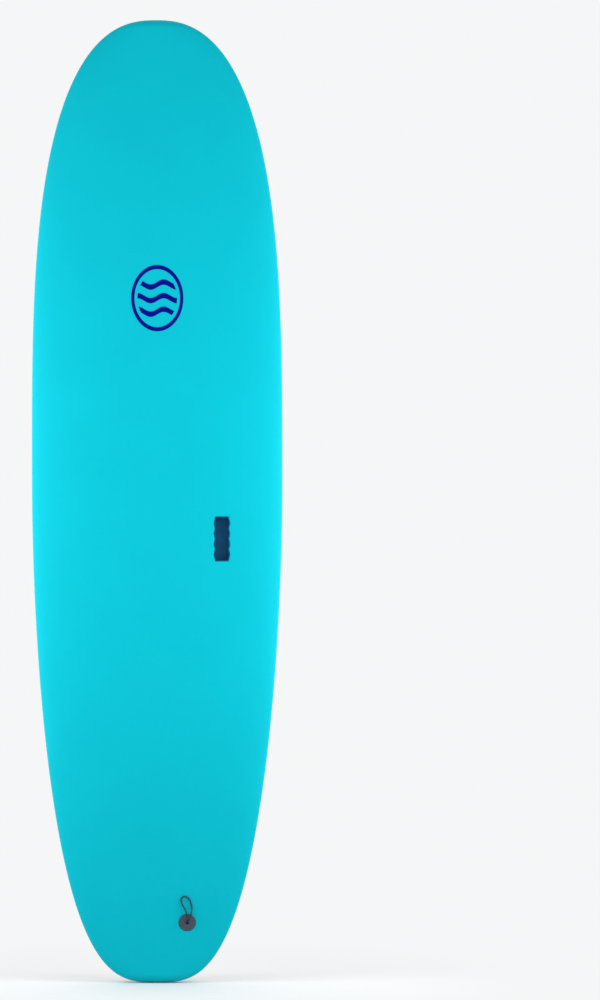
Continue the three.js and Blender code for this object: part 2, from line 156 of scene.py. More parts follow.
# where it hangs, how high it points, its width, height and watts; each has a twin on the other side
LAMPS = {
    "front_box": ((1.05, -0.78, 1.2), 1.2, 0.5, 1.1, 6.2),
    "rail_strip": ((0.95, -0.30, 1.05), 1.05, 0.2, 1.3, 6.0),
    "back_box": ((1.3, 1.3, 1.2), 1.0, 0.6, 1.4, 2.5),
}
for name, (spot, aim_height, width, height, watts) in LAMPS.items():
    for side in (-1, 1):
        lamp_data = bpy.data.lights.new(name, "AREA")
        lamp_data.shape = "RECTANGLE"
        lamp_data.size = width
        lamp_data.size_y = height
        lamp_data.energy = watts
        lamp = bpy.data.objects.new(name, lamp_data)
        lamp.location = (side * spot[0], spot[1], spot[2])
        aim = Vector((0, 0, aim_height)) - lamp.location
        lamp.rotation_euler = aim.to_track_quat("-Z", "Y").to_euler()
        lamp.visible_camera = False
        bpy.context.scene.collection.objects.link(lamp)


# ---- The board's shape ----
# The blank is cut to one outline, rocker and foil, with a crowned deck, a flat bottom and soft rails.
# Every skin and fitting is placed by this one rule, which works on plain numbers and on node trees.

THICKNESS = 80 * MM
WIDE_POINT = 0.52 * LENGTH
NOSE_POWER = 3.25
NOSE_ROOT = 0.41
TAIL_POWER = 1.85
TAIL_ROOT = 0.33
NOSE_TIP_THICKNESS = 32 * MM
TAIL_END_THICKNESS = 36 * MM
FOIL_POWER = 2.4
FLAT_POINT = 900 * MM
NOSE_LIFT = 112 * MM
TAIL_LIFT = 42 * MM
NOSE_LIFT_POWER = 2.3
TAIL_LIFT_POWER = 2
TIP_ROUNDING = 18 * MM
RAIL_APEX = 0.45
DECK_ROUNDNESS = 2.5
BOTTOM_ROUNDNESS = 5
STEP = 0.5 * MM
SPECK = 0.01 * MM


class Rule:
    """A number that a node tree works out for each point, written as arithmetic."""

    def __init__(self, tree, socket):
        self.tree = tree
        self.socket = socket

    def work(self, operation, *values):
        """The result of a Math node on plain numbers or rules."""
        made = self.tree.nodes.new("ShaderNodeMath")
        made.operation = operation
        for socket, value in zip(made.inputs, values):
            if isinstance(value, Rule):
                self.tree.links.new(value.socket, socket)
            else:
                socket.default_value = value
        return Rule(self.tree, made.outputs[0])

    def __add__(self, other):
        return self.work("ADD", self, other)

    def __sub__(self, other):
        return self.work("SUBTRACT", self, other)

    def __rsub__(self, other):
        return self.work("SUBTRACT", other, self)

    def __mul__(self, other):
        return self.work("MULTIPLY", self, other)

    def __truediv__(self, other):
        return self.work("DIVIDE", self, other)

    def __pow__(self, other):
        return self.work("POWER", self, other)

    def __neg__(self):
        return self.work("MULTIPLY", self, -1.0)

    def __abs__(self):
        return self.work("ABSOLUTE", self)

    def clamped(self):
        """The same number, held between 0 and 1."""
        held = self.work("ADD", self, 0.0)
        held.socket.node.use_clamp = True
        return held

    __radd__ = __add__
    __rmul__ = __mul__


def least(a, b):
    """The smaller of two numbers. This and the next two take plain numbers or a tree's."""
    return a.work("MINIMUM", a, b) if isinstance(a, Rule) else min(a, b)


def positive(a):
    return a.work("MAXIMUM", a, 0.0) if isinstance(a, Rule) else max(a, 0.0)


def cosine(a):
    return a.work("COSINE", a) if isinstance(a, Rule) else math.cos(a)


def sine(a):
    return a.work("SINE", a)


def outline(z):
    """Half width of the plan outline at a height above the tail."""
    tail = positive(1 - z / WIDE_POINT)
    nose = positive((z - WIDE_POINT) / (LENGTH - WIDE_POINT))
    tail_share = positive(1 - tail**TAIL_POWER) ** TAIL_ROOT
    nose_share = positive(1 - nose**NOSE_POWER) ** NOSE_ROOT
    return HALF_WIDTH * tail_share * nose_share


def rail_height(z):
    """Where the rail's outermost line lies, from the rocker and the foil."""
    nose = positive((z - FLAT_POINT) / (LENGTH - FLAT_POINT)) ** NOSE_LIFT_POWER
    tail = positive((FLAT_POINT - z) / FLAT_POINT) ** TAIL_LIFT_POWER
    return -NOSE_LIFT * nose - TAIL_LIFT * tail - RAIL_APEX * foil(z)


def foil(z):
    """The board's thickness at a height above the tail."""
    middle = LENGTH / 2
    nose = positive((z - middle) / middle) ** FOIL_POWER
    tail = positive((middle - z) / middle) ** FOIL_POWER
    return THICKNESS - (THICKNESS - NOSE_TIP_THICKNESS) * nose - (THICKNESS - TAIL_END_THICKNESS) * tail


def surface_y(x, z, on_deck):
    """The height of the deck or of the bottom over a point of the outline."""
    power = DECK_ROUNDNESS if on_deck else BOTTOM_ROUNDNESS
    share = RAIL_APEX - 1 if on_deck else RAIL_APEX
    from_tip = positive(1 - least(z, LENGTH - z) / TIP_ROUNDING)
    rounding = positive(1 - from_tip**2) ** 0.5
    across = positive(1 - (abs(x) / outline(z)) ** power) ** (1 / power)
    return rail_height(z) + share * foil(z) * rounding * across


def inset_station(share, inset):
    """The height and half width of a station of the outline, moved inwards by an inset."""
    z = LENGTH / 2 * (1 - cosine(math.pi * share))
    near = least(least(z / 2 + SPECK, (LENGTH - z) / 2 + SPECK), STEP)
    slope = (outline(z + near) - outline(z - near)) / (2 * near)
    run = (slope**2 + 1) ** 0.5
    return z + inset * slope / run, positive(outline(z) - inset / run)


def seat_at(x, z, on_deck, toe=0.0):
    """A frame on the surface: Z out of the board, Y towards the nose."""
    side = surface_y(x + STEP, z, on_deck) - surface_y(x - STEP, z, on_deck)
    rise = surface_y(x, z + STEP, on_deck) - surface_y(x, z - STEP, on_deck)
    outwards = Vector((-side, 2 * STEP, -rise)).normalized() * (-1 if on_deck else 1)
    across = Vector((math.sin(toe), 0, math.cos(toe))).cross(outwards).normalized()
    forward = outwards.cross(across)
    seat = Matrix((across, forward, outwards)).transposed().to_4x4()
    seat.translation = (x, surface_y(x, z, on_deck), z)
    return seat


# ---- Cord loop ----
# A short loop of 3 mm braided polyester cord, which the leash is strapped through. Both ends go down the
# plug's hole to a knot, and the loop lies over on the deck, towards the nose.

PLUG_X = 68 * MM
PLUG_Z = 135 * MM
PLUG_PROUD = 1
CORD_RADIUS = 1.5 * MM
# the cord's dark tone is painted into the braid's grooves as painted shade, and its light tone onto the
# strands' crowns; a random fibre tone also moves between them
CORD_DARK = tint(8, 16, 36)
CORD_LIGHT = tint(28, 44, 74)
# across the board, towards the nose and out of the deck, in mm from the plug
LOOP_ROUTE = [
    (-1.7, 0, -11.4), (-1.7, 0, -6), (-1.7, 0, 0), (-1.7, 0.5, 5.5), (-1.5, 3.2, 10.4), (-1.1, 8.4, 12.8),
    (-0.8, 14.2, 11.6), (-1.3, 19.8, 8.8), (-3.6, 26, 6), (-7.4, 33.2, 3.8), (-11.4, 41.2, 2.4),
    (-13.8, 48.8, 2), (-12.2, 55.2, 2), (-6.2, 58.2, 2), (0.4, 56, 2), (5.2, 50.2, 2), (8.4, 42.2, 2.4),
    (10, 33.6, 3.6), (9.8, 25.6, 5.8), (8.2, 18.8, 8.6), (5.8, 12.8, 11.2), (3.6, 7.4, 12.6),
    (2.2, 2.9, 10.2), (1.7, 0.5, 5.5), (1.7, 0, 0), (1.7, 0, -6), (1.7, 0, -11.4),
]
STEPS_PER_SPAN = 14
CORD_SIDES = 24
BRAID_PITCH = 5.6 * MM
BRAID_STRANDS = 6
BRAID_RELIEF = 0.3 * MM

plug_seat = seat_at(PLUG_X, PLUG_Z, True)


def smooth_path(points, per_span):
    """A smooth line through points: a cubic over each span, with slopes shared at the points."""
    ends = [2 * points[0] - points[1], *points, 2 * points[-1] - points[-2]]
    path = []
    for before, start, end, after in zip(ends, ends[1:], ends[2:], ends[3:]):
        for i in range(per_span):
            t = i / per_span
            leaving = (end - before) / 2 * (t**3 - 2 * t**2 + t)
            arriving = (after - start) / 2 * (t**3 - t**2)
            point = start * (2 * t**3 - 3 * t**2 + 1) + end * (3 * t**2 - 2 * t**3)
            path.append(point + leaving + arriving)
    return [*path, points[-1]]


def tube_mesh(name, path, radius, sides):
    """A closed round tube along a path. Its UV map runs once round the tube, and along it in metres."""
    bm = bmesh.new()
    uv = bm.loops.layers.uv.new("UVMap")
    side = (path[1] - path[0]).orthogonal().normalized()
    rings, along = [], [0.0]
    for i, point in enumerate(path):
        tangent = (path[min(i + 1, len(path) - 1)] - path[max(i - 1, 0)]).normalized()
        side = (side - tangent * side.dot(tangent)).normalized()
        up = tangent.cross(side)
        angles = [2 * math.pi * k / sides for k in range(sides)]
        rings.append([bm.verts.new(point + radius * (math.cos(a) * side + math.sin(a) * up)) for a in angles])
        if i:
            along.append(along[-1] + (point - path[i - 1]).length)
    for i, (ring, following) in enumerate(zip(rings, rings[1:])):
        for k in range(sides):
            n = (k + 1) % sides
            wall = bm.faces.new((ring[k], ring[n], following[n], following[k]))
            wall.smooth = True
            spots = ((k, i), (k + 1, i), (k + 1, i + 1), (k, i + 1))
            for loop, (turn, station) in zip(wall.loops, spots):
                loop[uv].uv = (turn / sides, along[station])
    bm.faces.new(rings[0][::-1])
    bm.faces.new(rings[-1])
    mesh = bpy.data.meshes.new(name)
    bm.to_mesh(mesh)
    bm.free()
    return mesh


def noise(tree, place, scale, detail=3.0):
    """A soft random pattern, near 0.5, with a grain of about one over its scale in metres."""
    made = new_node(tree, "ShaderNodeTexNoise", inputs={"Vector": place, "Scale": scale, "Detail": detail})
    return Rule(tree, made.outputs["Fac"])


def cells(tree, place, scale, feature="F1"):
    """The distance from the middles of scattered cells, or from the walls between them."""
    inputs = {"Vector": place, "Scale": scale, "Randomness": 1.0}
    made = new_node(tree, "ShaderNodeTexVoronoi", {"feature": feature}, inputs)
    return Rule(tree, made.outputs["Distance"])


def mixed(tree, share, first, second):
    """A colour between two colours, or sockets, by a share from 0 to 1."""
    made = new_node(tree, "ShaderNodeMix", {"data_type": "RGBA"})
    tree.links.new(share.socket, made.inputs["Factor"])
    for socket, value in ((made.inputs[6], first), (made.inputs[7], second)):
        if isinstance(value, bpy.types.NodeSocket):
            tree.links.new(value, socket)
        else:
            socket.default_value = value
    return made.outputs[2]


def paint(tree, shader, colour, roughness, relief=None, depth=0.0):
    """Joins a colour, a roughness and a relief, which is depth metres high, to the shader."""
    tree.links.new(colour, shader.inputs["Base Color"])
    tree.links.new(roughness.clamped().socket, shader.inputs["Roughness"])
    if relief is not None:
        bump = new_node(tree, "ShaderNodeBump", inputs={"Distance": depth, "Height": relief.socket})
        tree.links.new(bump.outputs[0], shader.inputs["Normal"])


cord_paint, tree, shader, place = new_material("braided_cord")
own_map = new_node(tree, "ShaderNodeUVMap", {"uv_map": "UVMap"})
spot = new_node(tree, "ShaderNodeSeparateXYZ", inputs={0: own_map.outputs[0]})
turn = Rule(tree, spot.outputs["X"]) * (math.pi * BRAID_STRANDS)
run = Rule(tree, spot.outputs["Y"]) * (math.pi * BRAID_STRANDS / BRAID_PITCH)
one_way, other_way = sine(run + turn), sine(run - turn)
braid = one_way.work("MAXIMUM", one_way, other_way)
fibre = noise(tree, place, 6000.0)
# painted shade: the colour follows the braid's relief, darker in the grooves between strands and lighter on
# their crowns, mixed with a random fibre tone
cord_colour = mixed(tree, (braid * 0.35 + fibre * 0.6).clamped(), CORD_DARK, CORD_LIGHT)
paint(tree, shader, cord_colour, fibre * 0.3 + 0.55, braid + fibre * 0.3, BRAID_RELIEF)
shader.inputs["Sheen Weight"].default_value = 0.05

loop_path = smooth_path([plug_seat @ (Vector(point) * MM) for point in LOOP_ROUTE], STEPS_PER_SPAN)
loop_mesh = tube_mesh("leash_cord", loop_path, CORD_RADIUS, CORD_SIDES)
loop = add_object("leash_cord", loop_mesh, cord_paint)
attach(loop, "board")
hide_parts("leash_loop")


# ---- Deck skin ----
# A 6 mm sheet of closed-cell foam, heat-bonded over the deck and round the rails to the edge of the bottom.
# Its face is embossed with a fine pebble, and a mark of waves in a ring is printed into it.

SKIN = 6 * MM
PANEL_INSET = 12.5 * MM
DEEP_INSET = 60 * MM
STATIONS = 181
DECK_COLUMNS = 121
DECK_SHARE = 0.5
RAIL_SHARE = 0.8
DECK_SPREAD = 2.2
EDGE_SPREAD = 3.2
PANEL_SPREAD = 1.5
WELD = SPECK / 4
DECK_BLUE = tint(0, 171, 186)
DECK_SHADE = tint(0, 164, 180)
INK = tint(0, 10, 116)


def skin_tree(name, on_deck):
    """A node tree that lays a grid over one face of the board, in rings inside its outline."""
    tree = bpy.data.node_groups.new(name, "GeometryNodeTree")
    wanted = {"Stations": "Int", "Columns": "Int", "Deep inset": "Float", "Edge inset": "Float"}
    wanted["Paint"] = "Material"
    for label, kind in wanted.items():
        tree.interface.new_socket(label, in_out="INPUT", socket_type="NodeSocket" + kind)
    tree.interface.new_socket("Skin", in_out="OUTPUT", socket_type="NodeSocketGeometry")
    given = tree.nodes.new("NodeGroupInput").outputs
    deep, edge = Rule(tree, given["Deep inset"]), Rule(tree, given["Edge inset"])
    spread = {"Size X": 2.0, "Size Y": 1.0, "Vertices X": given["Columns"], "Vertices Y": given["Stations"]}
    grid = new_node(tree, "GeometryNodeMeshGrid", inputs=spread)
    position = tree.nodes.new("GeometryNodeInputPosition").outputs[0]
    spot = new_node(tree, "ShaderNodeSeparateXYZ", inputs={0: position})
    side, share = Rule(tree, spot.outputs["X"]), Rule(tree, spot.outputs["Y"]) + 0.5
    away = abs(side)
    if on_deck:
        to_rail = least(positive(RAIL_SHARE - away) / (RAIL_SHARE - DECK_SHARE), 1.0)
        past_rail = positive(away - RAIL_SHARE) / (1 - RAIL_SHARE)
        inset = deep * to_rail**DECK_SPREAD + edge * past_rail**EDGE_SPREAD
    else:
        to_edge = least(positive(1 - away) / (1 - DECK_SHARE), 1.0)
        inset = edge + (deep - edge) * to_edge**PANEL_SPREAD
    z, half_width = inset_station(share, inset)
    x = half_width * least(away / DECK_SHARE, 1.0) * side.work("SIGN", side) * (1.0 if on_deck else -1.0)
    y = surface_y(x, z, on_deck)
    if on_deck:
        y = y + side.work("GREATER_THAN", away, RAIL_SHARE) * (surface_y(x, z, False) - y)
    place = new_node(tree, "ShaderNodeCombineXYZ", inputs={"X": x.socket, "Y": y.socket, "Z": z.socket})
    skin = grid.outputs[0]
    for kind, settings in (
        ("SetPosition", {"Position": place.outputs[0]}),
        ("MergeByDistance", {"Distance": WELD}),
        ("RealizeInstances", {}),
        ("SetMaterial", {"Material": given["Paint"]}),
    ):
        skin = new_node(tree, "GeometryNode" + kind, inputs={"Geometry": skin, **settings}).outputs[0]
    tree.links.new(skin, tree.nodes.new("NodeGroupOutput").inputs[0])
    return tree


def applied(piece):
    """Bakes a piece's modifiers into its mesh."""
    bpy.context.view_layer.update()
    seen = piece.evaluated_get(bpy.context.evaluated_depsgraph_get())
    baked = bpy.data.meshes.new_from_object(seen)
    piece.modifiers.clear()
    piece.data = baked
    return piece


def skin_piece(name, on_deck, columns, thickness, material):
    """A sheet of even thickness over one face of the board, laid by its node tree."""
    piece = add_object(name, bpy.data.meshes.new(name), material)
    layer = piece.modifiers.new("surface", "NODES")
    tree = skin_tree(name, on_deck)
    inputs = {item.name: item.identifier for item in tree.interface.items_tree if item.in_out == "INPUT"}
    settings = {"Stations": STATIONS, "Columns": columns, "Deep inset": DEEP_INSET, "Edge inset": PANEL_INSET}
    layer.node_group = tree
    for label, value in settings.items():
        layer[inputs[label]] = value
    layer[inputs["Paint"]] = material
    applied(piece)
    solid = piece.modifiers.new("thickness", "SOLIDIFY")
    solid.thickness = thickness
    return applied(piece)


def combine(piece, other, operation="DIFFERENCE"):
    """Cuts another object from a piece, or joins it on, and welds the seam. The other is thrown away."""
    joined = piece.modifiers.new("combine", "BOOLEAN")
    joined.operation = operation
    joined.solver = "EXACT"
    joined.object = other
    applied(piece)
    bpy.data.objects.remove(other)
    bm = bmesh.new()
    bm.from_mesh(piece.data)
    bmesh.ops.remove_doubles(bm, verts=bm.verts, dist=SPECK / 10)
    bm.to_mesh(piece.data)
    bm.free()


def circle(radius, height, sides=64):
    """Points round a circle, in mm. The height is not used here: it is there for outlines that twist as they
    rise.
    """
    angles = [2 * math.pi * k / sides for k in range(sides)]
    return [(radius * math.cos(angle), radius * math.sin(angle)) for angle in angles]


def loft(name, profile, outline_of, seat, material, ring=False):
    """A closed piece from outlines stacked up a seat's axis: the profile is (outline size, height), in mm.
    A ring's profile joins up with its own start; any other piece is capped at both ends."""
    bm = bmesh.new()
    rings = []
    for size, height in profile:
        points = [Vector((x, y, height)) * MM for x, y in outline_of(size, height)]
        rings.append([bm.verts.new(seat @ point) for point in points])
    pairs = list(zip(rings, rings[1:])) + ([(rings[-1], rings[0])] if ring else [])
    for lower, upper in pairs:
        for k in range(len(lower)):
            n = (k + 1) % len(lower)
            bm.faces.new((lower[k], lower[n], upper[n], upper[k]))
    if not ring:
        bm.faces.new(rings[0][::-1])
        bm.faces.new(rings[-1])
    bmesh.ops.recalc_face_normals(bm, faces=bm.faces)
    mesh = bpy.data.meshes.new(name)
    bm.to_mesh(mesh)
    bm.free()
    return add_object(name, mesh, material)


def eased(profile, size, steps=4, ring=False):
    """A profile with its corners rounded over by a size in mm."""
    count = len(profile)
    result = []
    for i, corner in enumerate(profile):
        here = Vector(corner)
        if not ring and i in (0, count - 1):
            result.append(here)
            continue
        before, after = Vector(profile[i - 1]) - here, Vector(profile[(i + 1) % count]) - here
        start = here + before.normalized() * min(size, before.length * 0.45)
        end = here + after.normalized() * min(size, after.length * 0.45)
        for k in range(steps + 1):
            t = k / steps
            result.append(start * (1 - t) ** 2 + here * 2 * t * (1 - t) + end * t**2)
    return result


def smoothed(piece, angle=32):
    """Smooth shading, with edges sharper than an angle in degrees kept crisp."""
    for polygon in piece.data.polygons:
        polygon.use_smooth = True
    piece.data.set_sharp_from_angle(angle=math.radians(angle))


def ellipse_distance(x, z, centre_x, centre_z, half_x, half_z):
    """How far out a point is from an ellipse's centre, as a share of the ellipse's size."""
    return (((x - centre_x) / half_x) ** 2 + ((z - centre_z) / half_z) ** 2) ** 0.5


def where(value, softness):
    """1 where a value is above nothing, 0 where it's below, with an edge as wide as the softness."""
    return (value / softness + 0.5).clamped()


MARK_X = 0.002
MARK_Z = 1.521
MARK_HALF_X = 0.058
MARK_HALF_Z = 0.0735
MARK_EDGE = 0.0006
WAVE_PITCH = 0.058
WAVE_HEIGHT = 0.0055
WAVE_SPACING = 0.030
WAVE_HALF = 0.0062
RING_INNER = 0.87
WAVES_WITHIN = 0.76
PEBBLE_RELIEF = 0.25 * MM

deck_paint, tree, shader, place = new_material("deck_foam")
spot = new_node(tree, "ShaderNodeSeparateXYZ", inputs={0: place})
x, z = Rule(tree, spot.outputs["X"]), Rule(tree, spot.outputs["Z"])
out = ellipse_distance(x, z, MARK_X, MARK_Z, MARK_HALF_X, MARK_HALF_Z)
mark = where(1 - out, MARK_EDGE / MARK_HALF_X) * where(out - RING_INNER, MARK_EDGE / MARK_HALF_X)
for row in (-1, 0, 1):
    crest = z - MARK_Z - row * WAVE_SPACING - sine((x - MARK_X) * (2 * math.pi / WAVE_PITCH)) * WAVE_HEIGHT
    band = where(WAVE_HALF - abs(crest), MARK_EDGE) * where(WAVES_WITHIN - out, MARK_EDGE / MARK_HALF_X)
    mark = mark.work("MAXIMUM", mark, band)
pebble = cells(tree, place, 620.0)
grain = noise(tree, place, 2400.0)
cloud = noise(tree, place, 9.0)
foam_colour = mixed(tree, (cloud * 0.8 + grain * 0.5 - 0.2).clamped(), DECK_SHADE, DECK_BLUE)
deck_colour = mixed(tree, mark, foam_colour, INK)
paint(tree, shader, deck_colour, grain * 0.22 + 0.5, pebble * 0.8 + grain * 0.5, PEBBLE_RELIEF)
shader.inputs["Specular IOR Level"].default_value = 0.05
shader.inputs["Sheen Weight"].default_value = 0.1
shader.inputs["Sheen Roughness"].default_value = 0.35

deck_skin = skin_piece("deck_foam_skin", True, DECK_COLUMNS, SKIN, deck_paint)


# ---- Bottom sheet ----
# A 1.5 mm slick plastic sheet, heat-bonded over the bottom inside the skin's edge. A row of wave crests and
# three brush strokes are printed on it.

SLICK = 1.5 * MM
PANEL_COLUMNS = 101
SLICK_WHITE = tint(238, 233, 228)
SLICK_SHADE = tint(229, 224, 219)
CREST_Z = 1.557
CREST_HALF_X = 0.113
CREST_PITCH = 0.0452
CREST_EDGE = 0.0006
CREST_SHARPNESS = 0.7
# lowest line, rise, thickness, shift along the row
CRESTS = ((-0.0130, 0.0475, 0.0150, 0.0), (-0.0345, 0.0380, 0.0110, 0.5))
STROKE_Z = 0.455
STROKE_HALF_X = 0.062
STROKE_RISE = 0.026
STROKE_BOW = 0.008
SHEET_RELIEF = 0.12 * MM
# height above the middle, share of the full length, half thickness
STROKES = ((-0.026, 0.72, 0.0070), (0.002, 1.0, 0.0090), (0.028, 0.62, 0.0060))

slick_paint, tree, shader, place = new_material("slick_sheet")
spot = new_node(tree, "ShaderNodeSeparateXYZ", inputs={0: place})
x, z = Rule(tree, spot.outputs["X"]), Rule(tree, spot.outputs["Z"])
mark = x * 0
for lowest, rise, thickness, shift in CRESTS:
    arc = abs(sine((x / CREST_PITCH + (0.5 + shift)) * math.pi)) ** CREST_SHARPNESS
    top = arc * rise + (CREST_Z + lowest)
    crest = where(top - z, CREST_EDGE) * where(z - top + thickness, CREST_EDGE)
    mark = mark.work("MAXIMUM", mark, crest * where(CREST_HALF_X - abs(x), CREST_EDGE))
for above, reach, half in STROKES:
    along = x * (-1 / (STROKE_HALF_X * reach))
    line = along * (STROKE_RISE * reach) - along**2 * STROKE_BOW + (STROKE_Z + above)
    width = positive(1 - along**2) ** 0.5 * (along * -0.35 + 0.65) * half
    mark = mark.work("MAXIMUM", mark, where(width - abs(z - line) - CREST_EDGE / 2, CREST_EDGE))
haze = noise(tree, place, 6.0)
ripple = noise(tree, place, 70.0)
scuff = noise(tree, place, 900.0)
sheet_colour = mixed(tree, (haze * 1.2 - 0.1).clamped(), SLICK_SHADE, SLICK_WHITE)
printed_colour = mixed(tree, mark, sheet_colour, INK)
sheet_roughness = scuff * 0.16 + haze * 0.1 + 0.2
paint(tree, shader, printed_colour, sheet_roughness, ripple + scuff * 0.06, SHEET_RELIEF)

bottom_slick = skin_piece("bottom_slick_sheet", False, PANEL_COLUMNS, SLICK, slick_paint)


# ---- Information label ----
# A printed film label, stuck on the slick between the side fins: a solid heading block over ruled rows.

LABEL_HALF_WIDTH = 24.7 * MM
LABEL_LOW = 0.219
LABEL_HIGH = 0.360
LABEL_CORNER = 2.5 * MM
LABEL_FACE = 0.25 * MM
LABEL_FILM = 0.22 * MM
LABEL_ROWS = 64
LABEL_LANES = 16
HEADING_LOW = 0.315
DIVIDER = 0.268
ROW_PITCH = 7.6 * MM
LABEL_LINE = 0.7 * MM
LABEL_EDGE = 0.25 * MM
SUN_Z = 0.3385
SUN_RADIUS = 0.012
HORIZON_Z = 0.3345
SWELL_Z = 0.3305
SWELL_HEIGHT = 0.0012
SWELL_HALF_WIDTH = 0.017
SWELL_WAVES = 380
BAR_MARGIN = 0.006
LABEL_WHITE = tint(236, 233, 230)
LABEL_SHADE = tint(222, 220, 218)
LABEL_INK = tint(28, 40, 150)

label_paint, tree, shader, place = new_material("label_film")
spot = new_node(tree, "ShaderNodeSeparateXYZ", inputs={0: place})
x, z = Rule(tree, spot.outputs["X"]), Rule(tree, spot.outputs["Z"])
to_edge = least(least(LABEL_HALF_WIDTH - abs(x), z - LABEL_LOW), LABEL_HIGH - z)
frame_line = where(LABEL_LINE * 2 - to_edge, LABEL_EDGE)
heading = where(z - HEADING_LOW, LABEL_EDGE)
from_sun = (abs(x) ** 2 + (z - SUN_Z) ** 2) ** 0.5
sun = where(SUN_RADIUS - from_sun, LABEL_EDGE) * where(z - HORIZON_Z, LABEL_EDGE)
from_swell = abs(z - SWELL_Z - sine(x * SWELL_WAVES) * SWELL_HEIGHT)
swell = where(SWELL_HEIGHT - from_swell, LABEL_EDGE) * where(SWELL_HALF_WIDTH - abs(x), LABEL_EDGE)
heading = heading * (1 - least(sun + swell, 1.0))
divider = where(LABEL_LINE - abs(z - DIVIDER), LABEL_EDGE)
row = (z - LABEL_LOW) / ROW_PITCH
row_number = row.work("FLOOR", row)
row_share = row - row_number
bar_end = sine(row_number * 2.3) * 0.007 + 0.006
bars = where(0.22 - abs(row_share - 0.5), 0.03) * where(bar_end + x, LABEL_EDGE)
bars = bars * where(to_edge - BAR_MARGIN, LABEL_EDGE) * where(HEADING_LOW - 0.004 - z, LABEL_EDGE)
mark = frame_line.work("MAXIMUM", frame_line, heading)
mark = mark.work("MAXIMUM", mark, divider.work("MAXIMUM", divider, bars * 0.85))
film_grain = noise(tree, place, 1500.0)
film_colour = mixed(tree, film_grain * 0.3, LABEL_WHITE, LABEL_SHADE)
label_colour = mixed(tree, mark, film_colour, LABEL_INK)
paint(tree, shader, label_colour, film_grain * 0.2 + 0.28, film_grain, 0.02 * MM)

bm = bmesh.new()
rows = []
for j in range(LABEL_ROWS + 1):
    height = LABEL_LOW + (LABEL_HIGH - LABEL_LOW) * (1 - math.cos(math.pi * j / LABEL_ROWS)) / 2
    from_end = min(height - LABEL_LOW, LABEL_HIGH - height, LABEL_CORNER)
    half = LABEL_HALF_WIDTH - LABEL_CORNER + (LABEL_CORNER**2 - (LABEL_CORNER - from_end) ** 2) ** 0.5
    lanes = [half * (1 - 2 * i / LABEL_LANES) for i in range(LABEL_LANES + 1)]
    points = [(across, surface_y(across, height, False) + LABEL_FACE, height) for across in lanes]
    rows.append([bm.verts.new(point) for point in points])
for row, following in zip(rows, rows[1:]):
    for i in range(LABEL_LANES):
        bm.faces.new((row[i], row[i + 1], following[i + 1], following[i]))
label_mesh = bpy.data.meshes.new("info_label_film")
bm.to_mesh(label_mesh)
bm.free()
label = add_object("info_label_film", label_mesh, label_paint)
label.modifiers.new("film", "SOLIDIFY").thickness = LABEL_FILM
applied(label)
smoothed(label)
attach(label, "board")
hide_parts("info_label")


# ---- Hand grip ----
# A moulded soft plastic cup with four finger lobes down each side, glued into a routed pocket in the deck.
# The deck foam is rolled over slightly round its mouth.

GRIP_X = 145 * MM
GRIP_Z = 987 * MM
GRIP_HALF_LENGTH = 48
GRIP_HALF_WIDTH = 15.3
GRIP_CORNER = 2.2
LOBE_DEPTH = 1.1
LOBE_PITCH = 23.1
GRIP_DEPTH = 24
GRIP_WALL = 1.6
GRIP_STEPS = 120
GRIP_EASE = 1.6
GAP = 0.3
ABOVE = 12
LEATHER_RELIEF = 0.12 * MM
GRIP_NAVY = tint(4, 92, 132)
GRIP_DEEP = tint(0, 74, 112)


def lobed(margin, height):
    """The finger-lobed outline, grown outwards by a margin, with rounded corners."""
    end = GRIP_HALF_LENGTH + margin
    radius = max(GRIP_CORNER + margin, 0.4)
    sides = []
    for side in (1, -1):
        for i in range(GRIP_STEPS + 1):
            y = -side * end * math.cos(math.pi * i / GRIP_STEPS)
            from_end = min(end - abs(y), radius)
            corner = radius - math.sqrt(max(0.0, radius**2 - (radius - from_end) ** 2))
            x = GRIP_HALF_WIDTH + margin - LOBE_DEPTH * math.cos(2 * math.pi * y / LOBE_PITCH) - corner
            sides.append((side * x, y))
    return sides


grip_seat = seat_at(GRIP_X, GRIP_Z, True)
mouth = GRIP_WALL + GAP
pocket_profile = [
    (mouth, -GRIP_DEPTH - mouth),
    (mouth, -1.6),
    (mouth + 0.15, -0.9),
    (mouth + 0.5, -0.35),
    (mouth + 1.1, 0),
    (mouth + 1.9, 0.25),
    (mouth + 1.9, ABOVE),
]
pocket = loft("grip_pocket", pocket_profile, lobed, grip_seat, deck_paint)
combine(deck_skin, pocket)

grip_paint, tree, shader, place = new_material("grip_plastic")
leather = cells(tree, place, 1400.0)
tone = noise(tree, place, 60.0)
dust = noise(tree, place, 3000.0)
grip_colour = mixed(tree, (tone * 1.4 - 0.2).clamped(), GRIP_DEEP, GRIP_NAVY)
paint(tree, shader, grip_colour, dust * 0.2 + 0.42, leather + dust * 0.4, LEATHER_RELIEF)
shader.inputs["Specular IOR Level"].default_value = 0.15

cup_profile = [
    (GRIP_WALL - 8, -GRIP_DEPTH - GRIP_WALL),
    (GRIP_WALL, -GRIP_DEPTH - GRIP_WALL),
    (GRIP_WALL, -GAP),
    (0, -GAP),
    (-1.2, -GRIP_DEPTH),
    (-9, -GRIP_DEPTH),
]
grip = loft("hand_grip_cup", eased(cup_profile, GRIP_EASE), lobed, grip_seat, grip_paint)
smoothed(grip)
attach(grip, "board")
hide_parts("grip_cup")


# ---- Leash plug ----
# A two-part moulded through plug: a grey disc with a tube in the deck, and a larger black disc in the bottom,
# whose collar screws up round the tube. The cord loop is knotted under the narrow hole.

